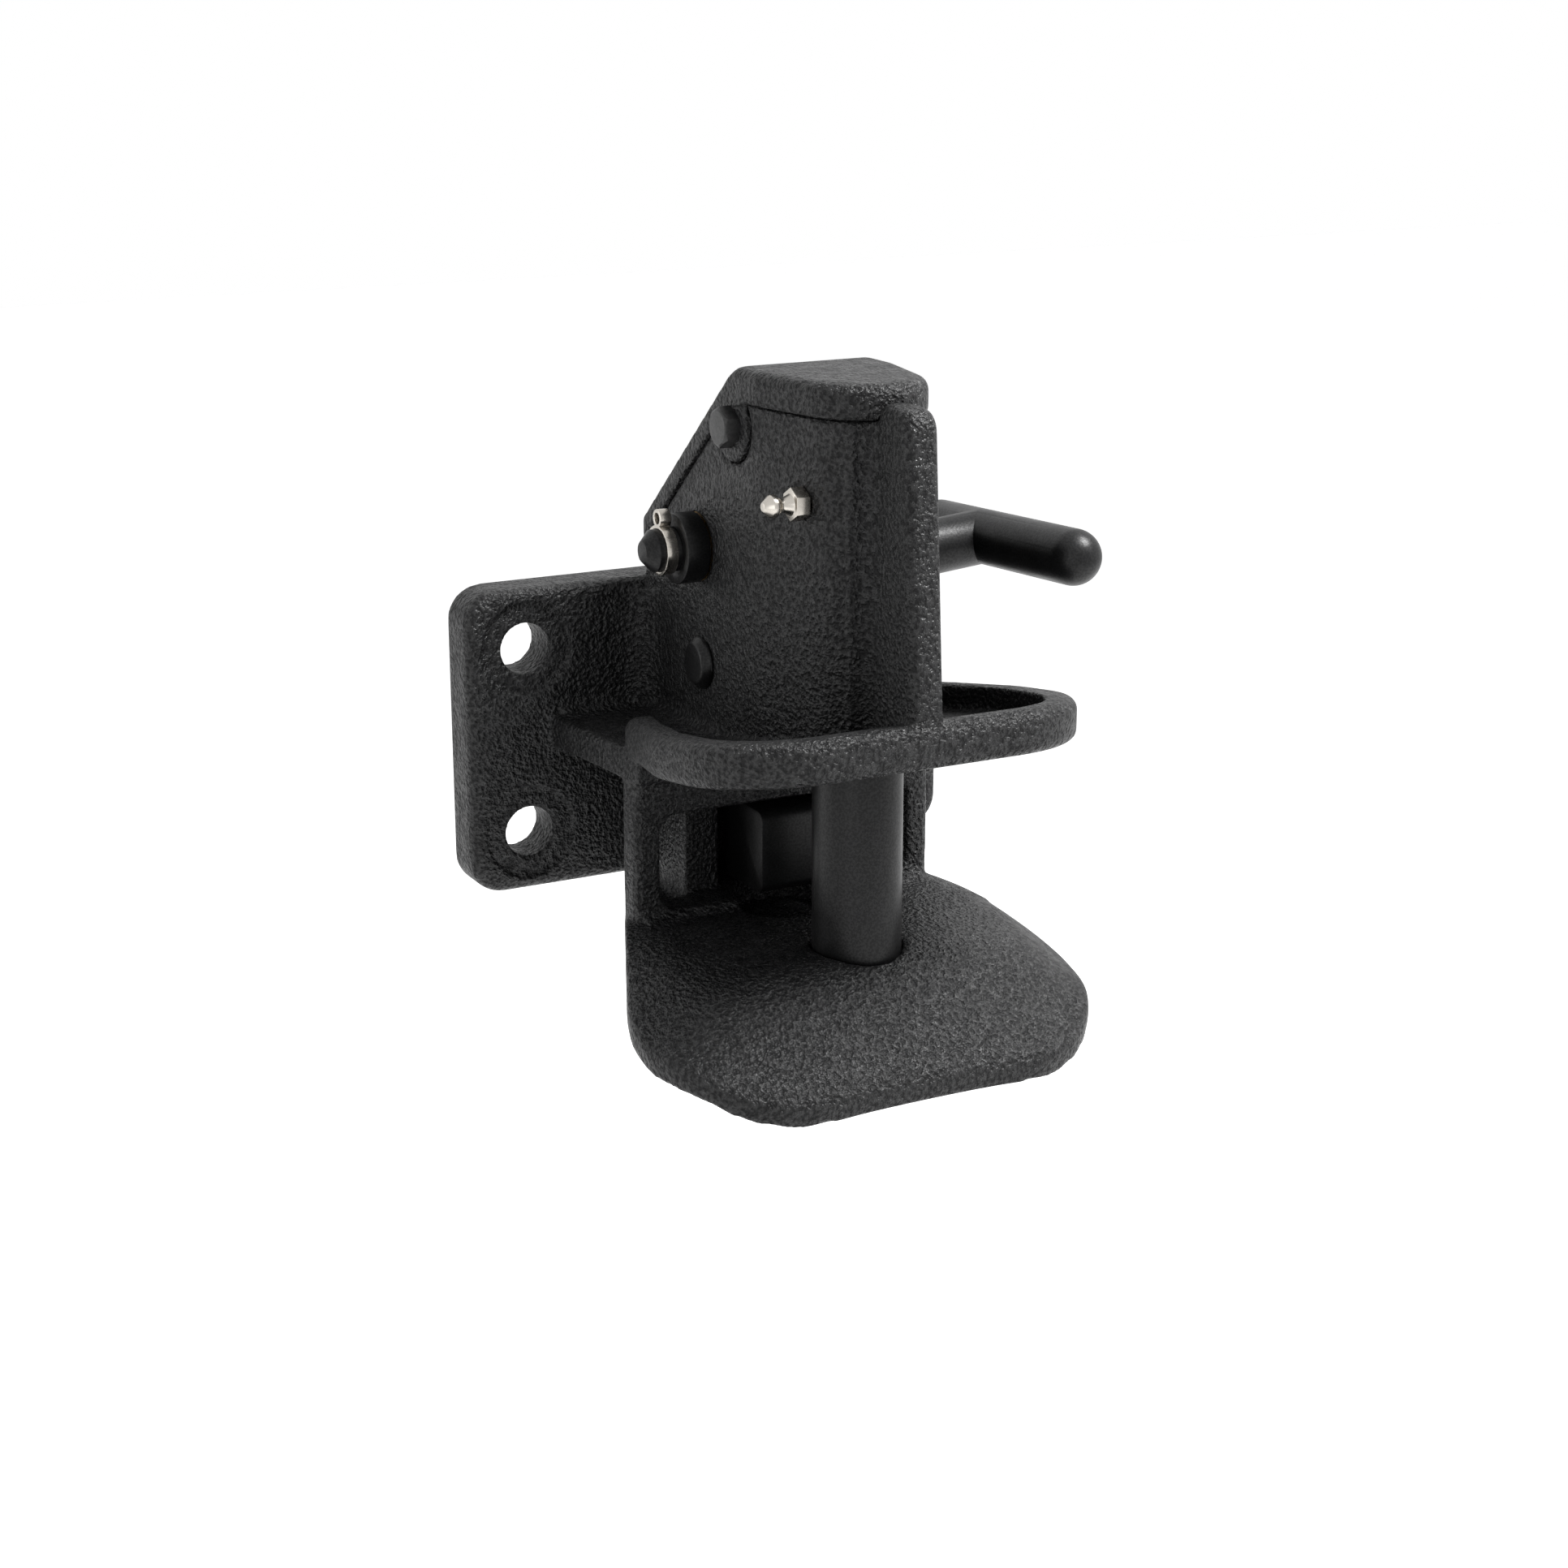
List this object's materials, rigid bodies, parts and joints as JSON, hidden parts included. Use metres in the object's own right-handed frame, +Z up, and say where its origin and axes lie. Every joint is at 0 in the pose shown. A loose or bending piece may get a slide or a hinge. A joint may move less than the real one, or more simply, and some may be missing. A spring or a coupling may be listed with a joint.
{
  "type": "pin trailer coupling",
  "caption": "Cast pin trailer coupling with a four-bolt flange, guide plates round an open jaw, and a hand lever that lifts the coupling pin.",
  "frame": {"origin": "centre of the flange's bolt pattern, on its mounting face", "axes": "+X to the right seen from the jaw, +Y out of the mounting face towards the vehicle, +Z up along the coupling pin"},
  "size_m": [0.157, 0.144, 0.1888],
  "materials": {
    "cast_black": "fine rough cast iron with black paint",
    "satin_black": "smooth satin black steel",
    "dark_screw": "dark oxide screw steel",
    "bright_plated": "bright plated steel",
    "bare_steel": "oiled bare steel",
    "bronze_bush": "oiled bearing bronze"
  },
  "bodies": {
    "housing": {"coupling_body": "cast_black", "top_cover": "cast_black", "cover_screws": "dark_screw", "grease_nipple": "bright_plated", "lower_bush": "bare_steel", "shaft_bush_left": "bronze_bush", "shaft_bush_right": "bronze_bush", "trigger_pin": "satin_black", "trigger_pin_ring": "bare_steel", "closing_spring": "bare_steel", "trigger_spring": "bare_steel"},
    "lever": {"hand_lever": "satin_black", "lift_arm": "bare_steel", "arm_dowel": "bare_steel", "shaft_washer": "satin_black", "shaft_clip": "bright_plated"},
    "pin": {"coupling_pin": "satin_black"},
    "trigger": {"release_trigger": "satin_black", "trigger_bush": "bronze_bush"}
  },
  "joints": [
    {"name": "lever_turn", "type": "hinge", "parent": "housing", "child": "lever", "pos_m": [0, -0.047, 0.0597], "axis": [-1, 0, 0], "range_deg": [0, 74.2], "stiffness_Nm_per_rad": 1.2, "springref_deg": -28.65, "deforming": ["closing_spring"]},
    {"name": "pin_lift", "type": "slide", "parent": "housing", "child": "pin", "axis": [0, 0, 1], "range_m": [0, 0.07]},
    {"name": "trigger_swing", "type": "hinge", "parent": "housing", "child": "trigger", "pos_m": [0, -0.05, 0.0268], "axis": [1, 0, 0], "range_deg": [0, 12], "stiffness_Nm_per_rad": 0.8, "springref_deg": -5.73, "deforming": ["trigger_spring"]}
  ],
  "couplings": [
    {"joint": "pin_lift", "follows": "lever_turn", "m_per_rad": 0.05405}
  ]
}
